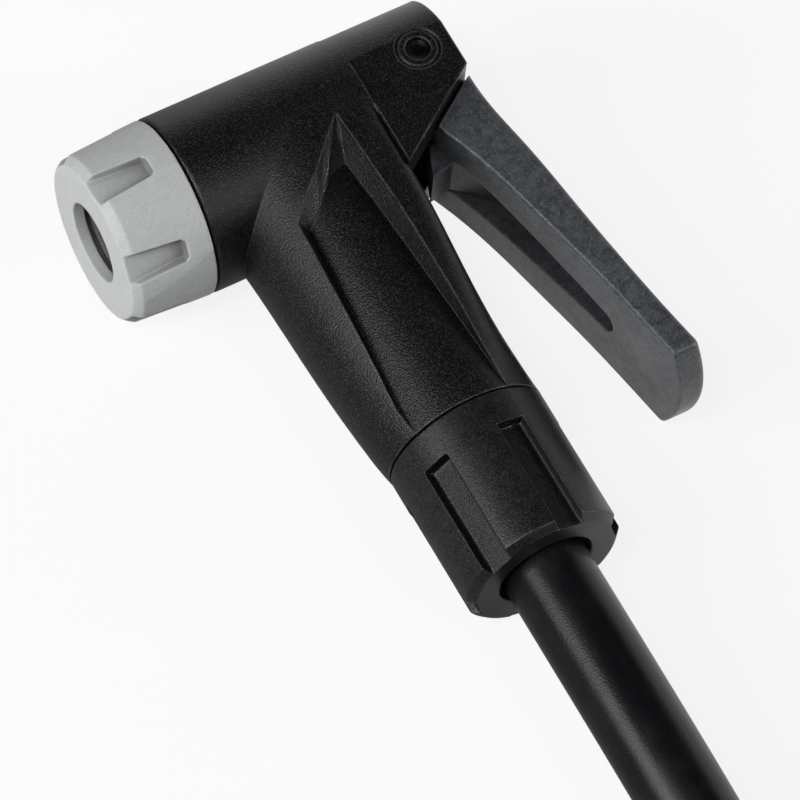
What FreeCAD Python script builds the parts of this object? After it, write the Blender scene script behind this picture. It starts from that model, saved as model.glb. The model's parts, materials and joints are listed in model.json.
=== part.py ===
import FreeCAD, Part
import math
import os

# A hand-held inflator head that locks on a tyre valve, with its hose.
# Millimetres. X runs along the barrel from the valve hole to the rear, the hose
# leaves towards -Y, and Z points up from the surface that the head lies on.

os.makedirs("parts", exist_ok=True)

V = FreeCAD.Vector
AXIS_X = V(1, 0, 0)
AXIS_Y = V(0, 1, 0)
AXIS_Z = V(0, 0, 1)

# Barrel, with the valve hole's mouth at x = 0
barrel_radius = 10.0
barrel_wall = 3.5
barrel_front_round = 0.35

# Clearances
running_clearance = 0.07
free_gap = 0.3
seam_gap = 0.25
o_ring_clearance = 0.05

# Grip cap
cap_length = 9.7
cap_nose_drop = 0.4
cap_band_length = 1.1
cap_band_drop = 0.75
cap_wall = 2.6
valve_hole_radius = 4.5
spigot_wall = 1.6
cap_slot_count = 6
cap_slot_first_angle = -6.0
cap_slot_rear_width = 2.3
cap_slot_front_width = 3.5
cap_slot_depth = 0.8
cap_slot_end = 6.9
cap_slot_corner = 0.5

# Seal and piston, stacked along the bore
washer_thickness = 0.6
seal_length = 7.8
seal_hole_radius = 4.0
seal_flare = 0.5
seal_flare_length = 1.2
seal_play = 0.1
thrust_ring_thickness = 0.9
piston_clearance = 0.08
piston_length = 20.3
bore_beyond_piston = 0.6
piston_passage_radius = 1.9
piston_waist_radius = 4.0
piston_waist_inset = 4.0
piston_waist_length = 7.2
cross_hole_radius = 1.3
o_ring_section_radius = 0.75
o_ring_groove_width = 1.7
front_groove_inset = 4.9
rear_groove_inset = 1.7
core_pin_radius = 0.8
core_pin_reach = 3.5
core_pin_hub_length = 2.6
shoe_radius = 4.2
shoe_thickness = 1.25
shoe_stud_radius = 1.5
shoe_stud_length = 3.0

# Rear block: two cheeks that carry the lever
block_before_pivot = 7.4
block_behind_pivot = 3.9
side_flat_depth = 0.4
cheek_rear_low = -2.9
cheek_front_low = -10.8
slot_half_width = 5.6
slot_front_step = 0.2
cheek_edge_radius = 0.35
boss_groove_radius = 2.5
boss_groove_width = 0.35
boss_groove_depth = 0.15

# Lever pivot and cam
pivot_y = 0.9
pin_radius = 1.35
pin_hole_clearance = 0.02
pin_recess = 0.3
pin_dish_depth = 0.25
cam_base_radius = 5.0
cam_gap = 0.15
lever_throw_degrees = 80.0
piston_stroke = 2.0
cam_disc_radius = 4.3

# Lever blade
blade_half_width = 7.5
blade_root_gap = 0.4
tongue_half_width = 5.3
blade_tip_reach = 45.4
blade_tip_radius = 15.2
blade_tip_corner = 1.0
blade_outer_round = 0.9
blade_inner_round = 0.3
blade_root_start = -0.15
blade_root_end = 7.35
channel_root_half_width = 3.4
channel_end_half_width = 1.6
web_half_width = 2.7

# Lever points, across and along from the pivot
blade_outer = ((4.6, -8.9), (5.45, -13.6), (6.7, -22.2), (8.2, -32.6), (10.9, -46.6))
blade_inner = ((7.45, -46.6), (5.7, -37.3), (4.55, -31.6), (2.8, -24.2), (0.6, -15.6), (-1.7, -9.2))
channel_root = (-10.0, -9.5)
channel_end = (-10.0, -33.1)
channel_floor_root = (2.6, -4.9)
channel_floor_end = (6.9, -37.9)
tongue_outline = ((3.7, 0.0), (3.9, -7.9), (2.4, -8.4), (-3.8, 0.0))
tongue_inner_place = 7.2
web_outline = (
    (-1.0, -2.9), (-2.3, -7.5), (-3.8, -11.3), (-1.1, -10.8), (4.3, -15.9), (4.0, -6.9),
)

# Neck
neck_x = 24.0
neck_end = -38.3
neck_end_radius = 9.12
core_top_y = -10.0
core_top_radius = 8.0
core_end_step = 0.06
neck_spigot_radius = 7.6
neck_spigot_length = 10.7
hose_pocket_radius = 4.95
hose_pocket_top = -25.0
stem_bore_radius = 4.05
stem_bore_top = -16.0
air_passage_radius = 2.2

# Neck sections: y, half width towards the cap, half width towards the lever,
# half height, squareness of the side that faces the lever
neck_sections = (
    (3.0, 12.2, 8.3, 9.4, 9.0),
    (-3.0, 11.8, 8.2, 9.9, 9.0),
    (-10.0, 11.1, 8.0, 9.88, 9.0),
    (-16.0, 10.8, 7.9, 9.8, 8.0),
    (-22.0, 10.6, 7.7, 9.65, 6.0),
    (-28.0, 10.3, 7.7, 9.45, 4.2),
    (-33.0, 9.9, 8.2, 9.25, 2.9),
)
section_points = 48

# Recessed panel on each side of the neck: corners at its upper and lower levels,
# across and along from the neck's axis
panel_top_level = 9.7
panel_low_level = 6.4
panel_top = (
    (3.3, -2.4), (2.4, -3.3), (-1.75, -7.5), (-7.05, -11.1), (-7.9, -39.5),
    (4.4, -39.5), (4.5, -28.0), (4.0, -14.0),
)
panel_low = (
    (1.3, -10.2), (-2.4, -11.9), (-3.5, -12.15), (-4.75, -12.1), (-7.3, -39.5),
    (4.4, -39.5), (2.9, -28.0), (1.8, -13.2),
)

# Hose
hose_radius = 4.8
barb_radius = 2.6
barb_ridge_radius = 2.9
barb_length = 19.0
barb_ridges = 4
stem_thread_length = 8.0
stem_flange_radius = 4.7
stem_flange_thickness = 1.5
stem_passage_radius = 1.5
stem_ring_section_radius = 0.55

# Hose nut
nut_radius = 9.12
nut_end = -55.6
nut_rim = 0.8
nut_hole_radius = 5.4
nut_end_wall = 2.0
nut_slot_count = 6
nut_slot_first_angle = -44.5
nut_slot_width = 3.0
nut_slot_depth = 1.1
nut_slot_top = -42.3
nut_thread_clearance = 0.08
sleeve_wide_radius = 7.2
sleeve_narrow_radius = 6.0
sleeve_length = 4.0
sleeve_slits = 6
sleeve_slit_width = 0.6

# Put-away hose: a coil flat on the floor, and the last stretch with its fitting
floor_z = -barrel_radius
coil_x = -30.0
coil_y = -143.0
coil_radius = 54.0
coil_layers = 2
coil_slack = 0.4
hose_route = (
    (24.0, -26.7, 0.0), (24.0, -56.0, 0.0), (24.05, -85.5, -0.25),
    (24.3, -114.6, -3.4), (24.0, -143.0, -5.2),
)
tail_route = (
    (-84.0, -143.0, 4.4), (-84.1, -128.0, 3.3), (-84.3, -112.5, -0.8),
    (-84.0, -96.0, -3.0), (-84.0, -81.0, -3.0),
)

# Far fitting
end_barb_length = 10.5
ferrule_radius = 6.0
ferrule_length = 11.0
ferrule_clearance = 0.05
end_neck_radius = 3.1
end_neck_length = 6.0
end_flange_radius = 4.6
end_flange_thickness = 1.5
end_seal_thickness = 1.2
swivel_across_flats = 14.0
swivel_back_wall = 3.0
swivel_thread_radius = 4.9
swivel_thread_length = 7.0
swivel_relief_radius = 5.2


def rod(radius, start, end, axis, centre=V(0, 0, 0)):
    """A cylinder along one axis, between two places on it."""
    low = min(start, end)
    base = centre + axis * low
    return Part.makeCylinder(radius, abs(end - start), base, axis)


def tube(outer, inner, start, end, axis, centre=V(0, 0, 0)):
    """A cylinder with a hole right through."""
    return rod(outer, start, end, axis, centre).cut(
        rod(inner, start - 1, end + 1, axis, centre)
        if start < end
        else rod(inner, start + 1, end - 1, axis, centre)
    )


def turned(profile, axis, centre=V(0, 0, 0)):
    """A solid turned about an axis from (place on the axis, radius) points."""
    side = V(0, 0, 1)
    points = [centre + axis * a + side * r for a, r in profile]
    face = Part.Face(Part.makePolygon(points + [points[0]]))
    return face.revolve(centre, axis, 360)


def box(low, high):
    return Part.makeBox(high[0] - low[0], high[1] - low[1], high[2] - low[2], V(*low))


def slab(points, half_height):
    """A flat outline in X and Y, from -half_height to half_height in Z."""
    corners = [V(x, y, -half_height) for x, y in points]
    face = Part.Face(Part.makePolygon(corners + [corners[0]]))
    return face.extrude(V(0, 0, 2 * half_height))


def o_ring(section_radius, inner_radius, place, axis, centre=V(0, 0, 0)):
    middle = inner_radius + section_radius
    return Part.makeTorus(middle, section_radius, centre + axis * place, axis)


def round_edges(shape, radius, wanted):
    edges = [edge for edge in shape.Edges if wanted(edge)]
    return shape.makeFillet(radius, edges)


neck_centre = V(neck_x, 0, 0)
neck_spigot_end = neck_end - neck_spigot_length
bore_radius = barrel_radius - barrel_wall
cap_rear_radius = barrel_radius
cap_nose_radius = barrel_radius - cap_nose_drop
spigot_radius = bore_radius + spigot_wall
side_flat = barrel_radius - side_flat_depth

# Places along the barrel: each piece of the stack starts where the last one ends
spigot_front = cap_wall + free_gap
seal_start = spigot_front + washer_thickness
thrust_ring_start = seal_start + seal_length + seal_play
piston_start = thrust_ring_start + thrust_ring_thickness
piston_end = piston_start + piston_length
piston_radius = bore_radius - piston_clearance
front_groove_start = piston_start + front_groove_inset
rear_groove_start = piston_end - rear_groove_inset - o_ring_groove_width
piston_waist_end = piston_end - piston_waist_inset
piston_waist_start = piston_waist_end - piston_waist_length
core_pin_tip = piston_start - core_pin_reach
bore_end = piston_end + bore_beyond_piston
shoe_face = piston_end + shoe_thickness
pivot_x = shoe_face + cam_gap + cam_base_radius
pivot = V(pivot_x, pivot_y, 0)
block_front = pivot_x - block_before_pivot
slot_front = block_front - slot_front_step
barrel_rear = pivot_x + block_behind_pivot


hose_bore_radius = barb_ridge_radius + o_ring_clearance


# Head body

def neck_section(y, cap_side, lever_side, half_height, squareness):
    """An oval on the cap's side and a squarer shape on the lever's side."""
    points = []
    for i in range(section_points):
        turn = 2 * math.pi * (i + 0.5) / section_points
        c = math.cos(turn)
        s = math.sin(turn)
        power = 2.0 / squareness if c > 0 else 1.0
        width = lever_side if c > 0 else cap_side
        x = math.copysign(width * abs(c) ** power, c)
        z = math.copysign(half_height * abs(s) ** power, s)
        points.append(V(neck_x + x, y, z))
    curve = Part.BSplineCurve()
    curve.interpolate(Points=points, PeriodicFlag=True)
    return Part.Wire(curve.toShape())


def neck_shell():
    end = (neck_end, neck_end_radius, neck_end_radius, neck_end_radius, 2.0)
    wires = [neck_section(*row) for row in neck_sections + (end,)]
    return Part.makeLoft(wires, True, False)


def neck_core():
    """The round neck that shows as the floor of the recessed panels."""
    end_radius = neck_end_radius - core_end_step
    taper = (end_radius - core_top_radius) / (core_top_y - neck_end)
    profile = []
    for y in (0, neck_end - 2):
        profile.append((y, core_top_radius + taper * (core_top_y - y)))
    profile = [(0, 0)] + profile + [(neck_end - 2, 0)]
    return turned(profile, AXIS_Y, neck_centre)


def panel_cutter(side):
    def ring(points, level):
        corners = [V(neck_x + x, y, side * level) for x, y in points]
        return Part.makePolygon(corners + [corners[0]])

    top = ring(panel_top, panel_top_level)
    sloped = Part.makeLoft([ring(panel_low, panel_low_level), top], True, True)
    above = Part.Face(top).extrude(V(0, 0, side * barrel_radius))
    return sloped.fuse(above)


def barrel():
    start = cap_length + seam_gap
    body = rod(barrel_radius, start, barrel_rear, AXIS_X)
    body = round_edges(body, barrel_front_round, lambda edge: edge.BoundBox.XMax < start + 0.01)
    beyond = 2 * barrel_radius
    body = body.cut(box((block_front, -beyond, -beyond), (barrel_rear + 1, 0, beyond)))
    for low, high in ((-beyond, -side_flat), (side_flat, beyond)):
        body = body.cut(box((block_front, -1, low), (barrel_rear + 1, beyond, high)))
    outline = (
        (block_front, 0), (barrel_rear, 0),
        (barrel_rear, cheek_rear_low), (block_front, cheek_front_low),
    )
    body = body.fuse(slab(outline, side_flat)).removeSplitter()

    def at_rear(edge):
        return edge.BoundBox.XMin > barrel_rear - 0.01

    return round_edges(body, cheek_edge_radius, at_rear)


def head_body():
    core = neck_core()
    neck = neck_shell()
    for side in (-1, 1):
        neck = neck.cut(panel_cutter(side).cut(core))
    body = barrel().fuse(neck)
    body = body.fuse(rod(spigot_radius, spigot_front, cap_length + 1, AXIS_X))
    body = body.fuse(rod(neck_spigot_radius, neck_end + 1, neck_spigot_end, AXIS_Y, neck_centre))
    body = body.cut(rod(bore_radius, spigot_front - 1, bore_end, AXIS_X))
    deep = barrel_radius + 2
    body = body.cut(box((slot_front, -deep, -slot_half_width), (barrel_rear + 1, deep, slot_half_width)))
    body = body.cut(rod(air_passage_radius, 0, stem_bore_top - 1, AXIS_Y, neck_centre))
    body = body.cut(rod(stem_bore_radius, stem_bore_top, hose_pocket_top - 1, AXIS_Y, neck_centre))
    body = body.cut(rod(hose_pocket_radius, hose_pocket_top, neck_spigot_end - 1, AXIS_Y, neck_centre))
    body = body.cut(rod(pin_radius + pin_hole_clearance, -deep, deep, AXIS_Z, pivot))
    for side in (-1, 1):
        floor = side * (side_flat - boss_groove_depth)
        groove = tube(boss_groove_radius, boss_groove_radius - boss_groove_width,
                      min(floor, side * deep), max(floor, side * deep), AXIS_Z, pivot)
        body = body.cut(groove)
    return body


# Grip cap and what it holds

def cap_slot(angle):
    """One grip recess: open at the nose, with small round corners at its rear."""
    rear = cap_slot_rear_width / 2
    front = cap_slot_front_width / 2
    floor = cap_nose_radius - cap_slot_depth
    corners = ((0, -front), (cap_slot_end, -rear), (cap_slot_end, rear), (0, front))
    points = [V(x, y, floor) for x, y in corners]
    base = Part.Face(Part.makePolygon(points + [points[0]]))
    cutter = base.extrude(V(0, 0, barrel_radius))
    cutter = round_edges(
        cutter, cap_slot_corner,
        lambda edge: edge.BoundBox.XMin > cap_slot_end - 0.01 and edge.BoundBox.ZLength > 1,
    )
    cutter.rotate(V(0, 0, 0), AXIS_X, angle)
    return cutter


def retaining_cap():
    thread_radius = spigot_radius + running_clearance
    profile = (
        (0, valve_hole_radius),
        (0, cap_nose_radius - cap_band_drop),
        (cap_band_length, cap_nose_radius),
        (cap_length, cap_rear_radius),
        (cap_length, thread_radius),
        (cap_wall, thread_radius),
        (cap_wall, valve_hole_radius),
    )
    cap = turned(profile, AXIS_X)
    for i in range(cap_slot_count):
        cap = cap.cut(cap_slot(cap_slot_first_angle + i * 360.0 / cap_slot_count))
    return cap


def front_washer():
    outer = bore_radius - o_ring_clearance
    return tube(outer, seal_hole_radius + 0.2, spigot_front, seal_start, AXIS_X)


def valve_seal():
    """A rubber sleeve with a waisted hole that grips the valve's thread."""
    outer = bore_radius - o_ring_clearance
    end = seal_start + seal_length
    profile = (
        (seal_start, seal_hole_radius + seal_flare),
        (seal_start, outer),
        (end, outer),
        (end, seal_hole_radius + seal_flare),
        (end - seal_flare_length, seal_hole_radius),
        (seal_start + seal_flare_length, seal_hole_radius),
    )
    return turned(profile, AXIS_X)


def thrust_ring():
    end = thrust_ring_start + thrust_ring_thickness
    return tube(piston_radius, seal_hole_radius, thrust_ring_start, end, AXIS_X)


# Piston

def ring_groove_radius():
    return bore_radius - 2 * o_ring_section_radius - 2 * o_ring_clearance


def piston():
    body = rod(piston_radius, piston_start, piston_end, AXIS_X)
    for start in (front_groove_start, rear_groove_start):
        end = start + o_ring_groove_width
        body = body.cut(tube(barrel_radius, ring_groove_radius(), start, end, AXIS_X))
    waist = tube(barrel_radius, piston_waist_radius, piston_waist_start, piston_waist_end, AXIS_X)
    body = body.cut(waist)
    middle = (piston_waist_start + piston_waist_end) / 2
    body = body.cut(rod(piston_passage_radius, piston_start - 1, middle, AXIS_X))
    for axis in (AXIS_Y, AXIS_Z):
        hole = rod(cross_hole_radius, -barrel_radius, barrel_radius, axis, V(middle, 0, 0))
        body = body.cut(hole)
    socket = rod(shoe_stud_radius, piston_end - shoe_stud_length - free_gap, piston_end + 1, AXIS_X)
    return body.cut(socket)


def piston_ring(groove_start):
    place = groove_start + o_ring_groove_width / 2
    inner = ring_groove_radius() + o_ring_clearance
    return o_ring(o_ring_section_radius, inner, place, AXIS_X)


def core_pin():
    """A pin on a hub that is pressed in the piston and lets air past."""
    hub_start = piston_start + 0.6
    hub_end = hub_start + core_pin_hub_length
    pin = rod(core_pin_radius, core_pin_tip, hub_end, AXIS_X)
    hub = rod(piston_passage_radius - 0.02, hub_start, hub_end, AXIS_X)
    for angle in (0, 120, 240):
        notch = box((hub_start - 1, -0.5, core_pin_radius + 0.2), (hub_end + 1, 0.5, barrel_radius))
        notch.rotate(V(0, 0, 0), AXIS_X, angle)
        hub = hub.cut(notch)
    return pin.fuse(hub).removeSplitter()


def cam_shoe():
    pad = rod(shoe_radius, piston_end, shoe_face, AXIS_X)
    stud = rod(shoe_stud_radius, piston_end - shoe_stud_length, piston_end + 0.5, AXIS_X)
    return pad.fuse(stud).removeSplitter()


# Lever

def cam_outline():
    """The cam's nose: its reach grows evenly as the lever is thrown."""
    rise = piston_stroke / math.radians(lever_throw_degrees)
    points = []
    for i in range(13):
        toward = 195.0 - i * 100.0 / 12
        a = math.radians(toward)
        reach = cam_base_radius + rise * math.radians(180.0 - toward)
        x = reach * math.cos(a) + rise * math.sin(a)
        y = reach * math.sin(a) - rise * math.cos(a)
        points.append(pivot + V(x, y, -tongue_half_width))
    curve = Part.BSplineCurve()
    curve.interpolate(Points=points)
    hub = pivot + V(0, 0, -tongue_half_width)
    sides = [
        Part.LineSegment(hub, points[0]).toShape(),
        curve.toShape(),
        Part.LineSegment(points[-1], hub).toShape(),
    ]
    return Part.Wire(sides)


def root_line(along):
    """A point on the blade's root edge, which runs beside the cheeks' lower edge."""
    low = V(barrel_rear, cheek_rear_low, 0)
    front = V(block_front, cheek_front_low, 0)
    run = (front - low).normalize()
    outward = V(-run.y, run.x, 0)
    if outward.y > 0:
        outward = outward * -1
    return low + outward * blade_root_gap + run * along


def from_pivot(point, z=0.0):
    return V(pivot_x + point[0], pivot_y + point[1], z)


def flat_from_pivot(points, half_height):
    return slab([(pivot_x + x, pivot_y + y) for x, y in points], half_height)


def curve_through(points):
    curve = Part.BSplineCurve()
    curve.interpolate(Points=points)
    return curve.toShape()


def blade_outline():
    low = -blade_half_width
    outer_root = root_line(blade_root_start) + V(0, 0, low)
    inner_root = root_line(blade_root_end) + V(0, 0, low)
    outer = [outer_root] + [from_pivot(point, low) for point in blade_outer]
    inner = [from_pivot(point, low) for point in blade_inner]
    sides = [
        curve_through(outer),
        Part.LineSegment(outer[-1], inner[0]).toShape(),
        curve_through(inner),
        Part.LineSegment(inner[-1], inner_root).toShape(),
        Part.LineSegment(inner_root, outer_root).toShape(),
    ]
    return Part.Face(Part.Wire(sides))


def blade():
    """A curved bar with a rounded tip and soft long edges."""
    body = blade_outline().extrude(V(0, 0, 2 * blade_half_width))
    reach = 4 * barrel_radius
    tip_centre = pivot_y - blade_tip_reach + blade_tip_radius
    plan = rod(blade_tip_radius, pivot_x - reach, pivot_x + reach, AXIS_X, V(0, tip_centre, 0))
    plan = plan.fuse(box(
        (pivot_x - reach, tip_centre, -2 * blade_half_width),
        (pivot_x + reach, pivot_y + barrel_radius, 2 * blade_half_width),
    ))
    body = body.common(plan)
    long_edge = 2 * blade_half_width
    middle_x = pivot_x + (blade_outer[0][0] + blade_inner[0][0]) / 2

    def tip_corner(edge):
        box_ = edge.BoundBox
        return box_.ZLength < 0.01 and box_.YMax < tip_centre and box_.YLength < 2

    def outer_edge(edge):
        box_ = edge.BoundBox
        return box_.ZLength < 0.01 and box_.YLength > long_edge and box_.XMax > middle_x + 4

    def inner_edge(edge):
        box_ = edge.BoundBox
        return box_.ZLength < 0.01 and box_.YLength > long_edge and box_.XMin < pivot_x

    body = round_edges(body, blade_tip_corner, tip_corner)
    body = round_edges(body, blade_outer_round, outer_edge)
    return round_edges(body, blade_inner_round, inner_edge)


def channel():
    """The long tapered recess in the face that looks at the neck."""
    near = pivot_x + channel_root[0]
    root_y = pivot_y + channel_root[1]
    end_y = pivot_y + channel_end[1]
    open_y = pivot_y + barrel_radius
    depth = V(4 * barrel_radius, 0, 0)
    corners = [
        V(near, open_y, -channel_root_half_width),
        V(near, root_y, -channel_root_half_width),
        V(near, end_y, -channel_end_half_width),
        V(near, end_y, channel_end_half_width),
        V(near, root_y, channel_root_half_width),
        V(near, open_y, channel_root_half_width),
    ]
    strip = Part.Face(Part.makePolygon(corners + [corners[0]])).extrude(depth)
    end = rod(channel_end_half_width, near, near + depth.x, AXIS_X, V(0, end_y, 0))
    floor = flat_from_pivot(
        ((channel_root[0], channel_floor_root[1]), channel_floor_root, channel_floor_end,
         (channel_root[0], channel_floor_end[1])),
        blade_half_width,
    )
    return strip.fuse(end).common(floor)


def tongue():
    """The part between the cheeks, from the pivot to the blade's root."""
    rear, outer, inner, front = tongue_outline
    points = [
        from_pivot(rear), root_line(0), from_pivot(outer), from_pivot(inner),
        root_line(tongue_inner_place), from_pivot(front),
    ]
    return slab([(p.x, p.y) for p in points], tongue_half_width)


def cam_lever():
    body = blade().cut(channel())
    nose = Part.Face(cam_outline()).extrude(V(0, 0, 2 * tongue_half_width))
    disc = rod(cam_disc_radius, -tongue_half_width, tongue_half_width, AXIS_Z, pivot)
    web = flat_from_pivot(web_outline, web_half_width)
    body = body.fuse([nose, disc, tongue(), web]).removeSplitter()
    hole = rod(pin_radius + running_clearance, -barrel_radius, barrel_radius, AXIS_Z, pivot)
    return body.cut(hole)


def pivot_pin():
    half = side_flat - pin_recess
    pin = rod(pin_radius, -half, half, AXIS_Z, pivot)
    dish = (pin_radius ** 2 * 0.72 + pin_dish_depth ** 2) / (2 * pin_dish_depth)
    for side in (-1, 1):
        centre = pivot + V(0, 0, side * (half - pin_dish_depth + dish))
        pin = pin.cut(Part.makeSphere(dish, centre))
    return pin


# Hose joint in the neck

def barbs(start, step):
    """Ridges that hold the hose, as (place, radius) points from start on."""
    pitch = barb_length / barb_ridges
    points = []
    for i in range(barb_ridges):
        at = start + step * i * pitch
        points.append((at, barb_radius - 0.2))
        points.append((at + step * pitch * 0.35, barb_ridge_radius))
        points.append((at + step * pitch * 0.45, barb_radius - 0.2))
    points.append((start + step * barb_length, barb_radius - 0.2))
    return points


def hose_stem():
    top = hose_pocket_top + stem_thread_length
    groove = top - 0.6
    seat = stem_bore_radius - 2 * stem_ring_section_radius - 2 * o_ring_clearance
    thread = stem_bore_radius - running_clearance
    flange_end = hose_pocket_top - stem_flange_thickness
    profile = [
        (top, stem_passage_radius),
        (top, thread),
        (groove, thread),
        (groove, seat),
        (groove - 1.3, seat),
        (groove - 1.3, thread),
        (hose_pocket_top, thread),
        (hose_pocket_top, stem_flange_radius),
        (flange_end, stem_flange_radius),
    ]
    profile += barbs(flange_end, -1)
    profile.append((flange_end - barb_length, stem_passage_radius))
    return turned(profile, AXIS_Y, neck_centre)


def stem_o_ring():
    place = hose_pocket_top + stem_thread_length - 0.6 - 0.65
    inner = stem_bore_radius - 2 * stem_ring_section_radius - o_ring_clearance
    return o_ring(stem_ring_section_radius, inner, place, AXIS_Y, neck_centre)


def clamp_sleeve():
    """A split sleeve that the nut squeezes on the hose."""
    end = nut_end + nut_end_wall + free_gap
    start = end + sleeve_length
    inner = hose_radius + o_ring_clearance
    profile = (
        (start, inner), (start, sleeve_wide_radius), (start - 1.2, sleeve_wide_radius),
        (end, sleeve_narrow_radius), (end, inner),
    )
    sleeve = turned(profile, AXIS_Y, neck_centre)
    for i in range(sleeve_slits):
        half = sleeve_slit_width / 2
        slit = box((-half, end - 1, 0), (half, start - 1.0, barrel_radius))
        slit.rotate(V(0, 0, 0), AXIS_Y, i * 360.0 / sleeve_slits)
        slit.translate(neck_centre)
        sleeve = sleeve.cut(slit)
    return sleeve


def nut_slot(angle):
    half = nut_slot_width / 2
    floor = nut_radius - nut_slot_depth
    cutter = box((-half, nut_end - 1, floor), (half, nut_slot_top, barrel_radius + 2))
    cutter.rotate(V(0, 0, 0), AXIS_Y, angle)
    cutter.translate(neck_centre)
    return cutter


def hose_nut():
    start = neck_end - seam_gap
    thread = neck_spigot_radius + nut_thread_clearance
    sleeve_end = nut_end + nut_end_wall + free_gap
    cone_start = sleeve_end + sleeve_length - 1.2
    profile = (
        (start, thread),
        (start, nut_radius),
        (nut_end + nut_rim, nut_radius),
        (nut_end, nut_radius - nut_rim),
        (nut_end, nut_hole_radius),
        (nut_end + nut_end_wall, nut_hole_radius),
        (nut_end + nut_end_wall, sleeve_narrow_radius + free_gap),
        (cone_start, thread),
    )
    nut = turned(profile, AXIS_Y, neck_centre)
    for i in range(nut_slot_count):
        nut = nut.cut(nut_slot(nut_slot_first_angle + i * 360.0 / nut_slot_count))
    return nut


# Hose

def route_path(route):
    """Straight runs joined by arcs as large as the runs allow."""
    points = [V(*p) for p in route]
    edges = []
    length = 0.0
    here = points[0]
    for before, corner, after in zip(points, points[1:], points[2:]):
        into = (corner - before).normalize()
        out = (after - corner).normalize()
        turn = into.getAngle(out)
        short = min((corner - before).Length, (after - corner).Length)
        reach = 0.45 * short
        radius = reach / math.tan(turn / 2)
        print("arc radius %.0f, turn %.2f degrees" % (radius, math.degrees(turn)))
        start = corner - into * reach
        end = corner + out * reach
        bisector = (out - into).normalize()
        middle = corner + bisector * (radius / math.cos(turn / 2) - radius)
        edges.append(Part.LineSegment(here, start).toShape())
        edges.append(Part.Arc(start, middle, end).toShape())
        length += (start - here).Length + radius * turn
        here = end
    edges.append(Part.LineSegment(here, points[-1]).toShape())
    length += (points[-1] - here).Length
    return Part.Wire(edges), length


def hose_along(name, route):
    path, length = route_path(route)
    start = V(*route[0])
    direction = (V(*route[1]) - start).normalize()
    section = Part.Wire(Part.makeCircle(hose_radius, start, direction))
    solid = path.makePipeShell([section], True, True)
    ratio = solid.Volume / (math.pi * hose_radius ** 2 * length)
    print("%s: %.0f mm long, volume %.4f of section times length" % (name, length, ratio))
    return solid


def hose():
    solid = hose_along("hose", hose_route)
    flange_end = hose_pocket_top - stem_flange_thickness
    return solid.cut(rod(hose_bore_radius, flange_end + 1, flange_end - barb_length - 1, AXIS_Y, neck_centre))


def hose_coil():
    """The outer shape of the coiled length."""
    reach = hose_radius + coil_slack
    top = floor_z + 2 * hose_radius * coil_layers
    centre = V(coil_x, coil_y, 0)
    ring = tube(coil_radius + reach, coil_radius - reach, floor_z, top, AXIS_Z, centre)
    turns = coil_layers - 0.5
    print("coil: %.0f mm of hose" % (2 * math.pi * coil_radius * turns))
    return round_edges(ring, 3.0, lambda e: e.BoundBox.ZLength < 0.01 and e.BoundBox.XLength > 10)


def hose_tail():
    solid = hose_along("tail", tail_route)
    bore_end = fitting_face - end_barb_length - free_gap
    return solid.cut(rod(hose_bore_radius, fitting_face + 1, bore_end, AXIS_Y, fitting_centre))


# Far fitting

fitting_centre = V(tail_route[-1][0], 0, tail_route[-1][2])
fitting_face = tail_route[-1][1]


def hose_ferrule():
    outer = ferrule_radius
    inner = hose_radius + ferrule_clearance
    start = fitting_face - ferrule_length + 1.0
    end = fitting_face + 1.0
    profile = (
        (start, inner), (start, outer - 0.4), (start + 0.4, outer),
        (end - 0.4, outer), (end, outer - 0.4),
        (end, end_neck_radius + 0.02), (fitting_face + 0.1, end_neck_radius + 0.02),
        (fitting_face + 0.1, inner),
    )
    return turned(profile, AXIS_Y, fitting_centre)


def end_stem():
    flange_start = fitting_face + 1.0 + end_neck_length
    flange_end = flange_start + end_flange_thickness
    profile = (
        (fitting_face - end_barb_length, stem_passage_radius),
        (fitting_face - end_barb_length, barb_radius - 0.2),
        (fitting_face - end_barb_length + 1.5, barb_radius),
        (fitting_face, barb_radius),
        (fitting_face + 0.1, end_neck_radius),
        (flange_start, end_neck_radius),
        (flange_start, end_flange_radius),
        (flange_end, end_flange_radius),
        (flange_end, stem_passage_radius),
    )
    return turned(profile, AXIS_Y, fitting_centre)


def end_seal():
    start = fitting_face + 1.0 + end_neck_length + end_flange_thickness
    return tube(end_flange_radius, stem_passage_radius + 0.3, start, start + end_seal_thickness,
                AXIS_Y, fitting_centre)


def swivel_nut():
    flange_start = fitting_face + 1.0 + end_neck_length
    back = flange_start - free_gap
    start = back - swivel_back_wall
    thread_start = flange_start + end_flange_thickness + end_seal_thickness
    end = thread_start + swivel_thread_length
    corner = swivel_across_flats / 2 / math.cos(math.radians(30))
    points = []
    for i in range(7):
        a = math.radians(30 + 60 * i)
        points.append(fitting_centre + V(corner * math.sin(a), start, corner * math.cos(a)))
    hexagon = Part.Face(Part.makePolygon(points)).extrude(V(0, end - start, 0))
    bevel = corner - swivel_across_flats / 2
    rounded = turned(
        ((start, 0), (start, corner - bevel), (start + bevel * 0.6, corner + 0.01),
         (end - bevel * 0.6, corner + 0.01), (end, corner - bevel), (end, 0)),
        AXIS_Y, fitting_centre,
    )
    nut = hexagon.common(rounded)
    nut = nut.cut(rod(end_neck_radius + running_clearance, start - 1, end, AXIS_Y, fitting_centre))
    nut = nut.cut(rod(swivel_relief_radius, back, thread_start, AXIS_Y, fitting_centre))
    return nut.cut(rod(swivel_thread_radius, thread_start, end + 1, AXIS_Y, fitting_centre))


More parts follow.
